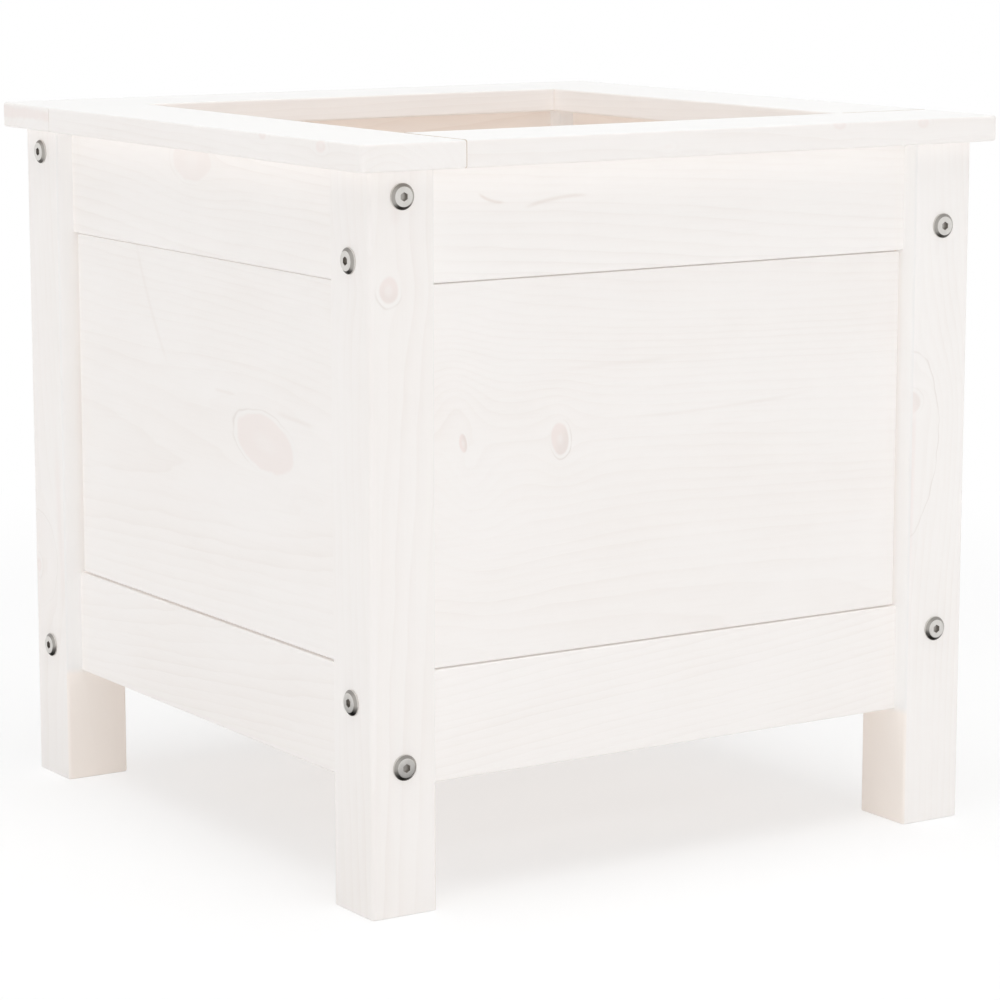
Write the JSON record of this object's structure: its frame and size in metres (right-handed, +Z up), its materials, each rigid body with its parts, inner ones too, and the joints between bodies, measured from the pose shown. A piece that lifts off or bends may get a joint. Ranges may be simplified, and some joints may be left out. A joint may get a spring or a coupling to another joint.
{
  "type": "planter box",
  "caption": "Square white-washed wooden planter box on four post legs, with framed panel walls, a flat butted rim, bolted corners and a slatted floor.",
  "frame": {"origin": "centre of the box on the ground, at the level of the leg soles", "axes": "+Z up; the front wall faces -Y, the right wall faces +X"},
  "size_m": [0.4, 0.4, 0.39],
  "materials": {
    "washed_wood": "thin white wash on planed pine, matt, grain and knots show",
    "inner_wood": "thinner white wash on planed pine, matt",
    "steel": "zinc-plated, satin"
  },
  "bodies": {
    "root": {"post_front_left": "washed_wood", "post_front_right": "washed_wood", "post_back_right": "washed_wood", "post_back_left": "washed_wood", "rail_top_front": "washed_wood", "rail_bottom_front": "washed_wood", "panel_front": "washed_wood", "rim_board_front": "washed_wood", "rail_top_right": "washed_wood", "rail_bottom_right": "washed_wood", "panel_right": "washed_wood", "rim_board_right": "washed_wood", "rail_top_back": "washed_wood", "rail_bottom_back": "washed_wood", "panel_back": "washed_wood", "rim_board_back": "washed_wood", "rail_top_left": "washed_wood", "rail_bottom_left": "washed_wood", "panel_left": "washed_wood", "rim_board_left": "washed_wood", "floor_cleat_right": "inner_wood", "floor_cleat_left": "inner_wood", "floor_slat_1": "inner_wood", "floor_slat_2": "inner_wood", "floor_slat_3": "inner_wood", "floor_slat_4": "inner_wood", "floor_slat_5": "inner_wood", "bolt_front_left_top": "steel", "bolt_front_left_bottom": "steel", "bolt_front_right_top": "steel", "bolt_front_right_bottom": "steel", "bolt_right_left_top": "steel", "bolt_right_left_bottom": "steel", "bolt_right_right_top": "steel", "bolt_right_right_bottom": "steel", "bolt_back_left_top": "steel", "bolt_back_left_bottom": "steel", "bolt_back_right_top": "steel", "bolt_back_right_bottom": "steel", "bolt_left_left_top": "steel", "bolt_left_left_bottom": "steel", "bolt_left_right_top": "steel", "bolt_left_right_bottom": "steel", "barrel_nut_front_left_top": "steel", "barrel_nut_front_left_bottom": "steel", "barrel_nut_front_right_top": "steel", "barrel_nut_front_right_bottom": "steel", "barrel_nut_right_left_top": "steel", "barrel_nut_right_left_bottom": "steel", "barrel_nut_right_right_top": "steel", "barrel_nut_right_right_bottom": "steel", "barrel_nut_back_left_top": "steel", "barrel_nut_back_left_bottom": "steel", "barrel_nut_back_right_top": "steel", "barrel_nut_back_right_bottom": "steel", "barrel_nut_left_left_top": "steel", "barrel_nut_left_left_bottom": "steel", "barrel_nut_left_right_top": "steel", "barrel_nut_left_right_bottom": "steel"}
  },
  "joints": []
}
